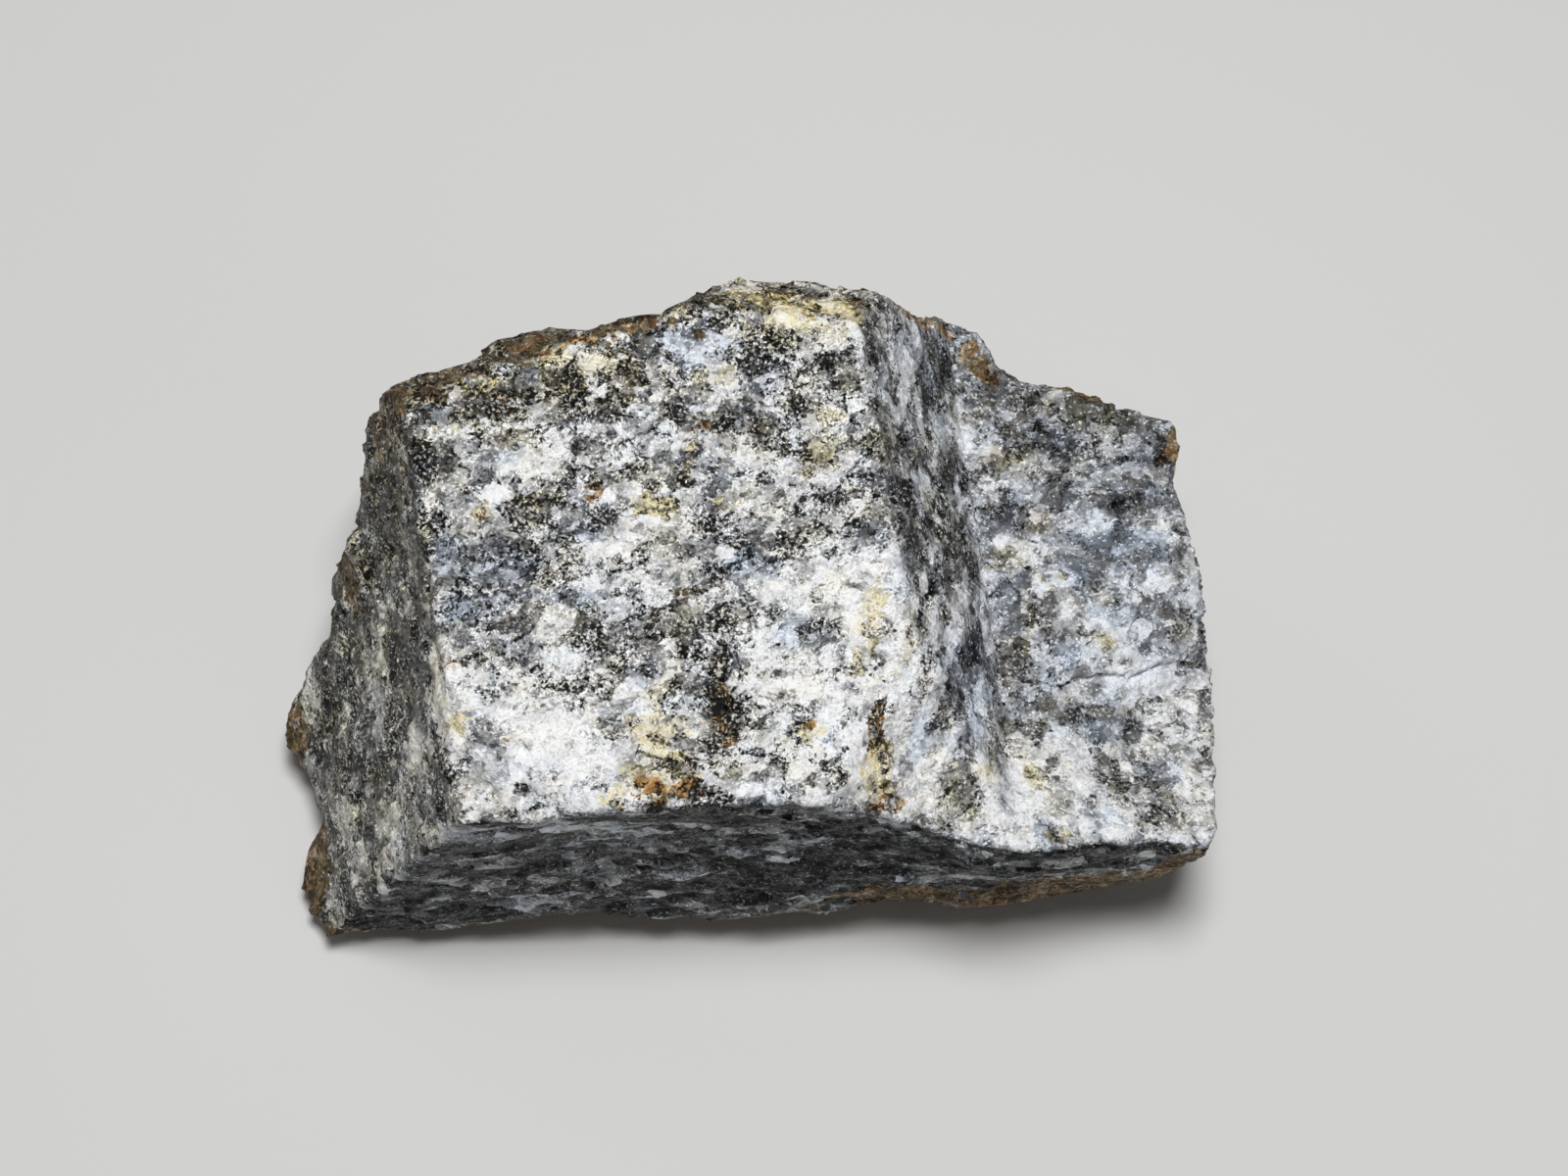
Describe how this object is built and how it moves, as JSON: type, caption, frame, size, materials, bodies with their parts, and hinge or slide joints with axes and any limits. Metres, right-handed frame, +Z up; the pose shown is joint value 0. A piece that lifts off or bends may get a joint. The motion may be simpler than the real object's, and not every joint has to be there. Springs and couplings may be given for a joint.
{
  "type": "scapolite rock specimen",
  "caption": "Broken hand specimen of coarse-grained scapolite rock with a broad upper face, steep sides, a lower shelf and a weathered rounded underside.",
  "frame": {"origin": "centre of the footprint of the stone's box, on the surface it rests on", "axes": "+Z up with the broad face uppermost, +X along the stone's longest side towards the lower shelf, -Y towards the steep front face"},
  "size_m": [0.0947, 0.0637, 0.0537],
  "materials": {
    "scapolite_rock": "rough fresh fracture, speckled white, blue-grey and black, with a rusty brown weathered crust underneath"
  },
  "bodies": {
    "root": {"scapolite_rock": "scapolite_rock"}
  },
  "joints": []
}
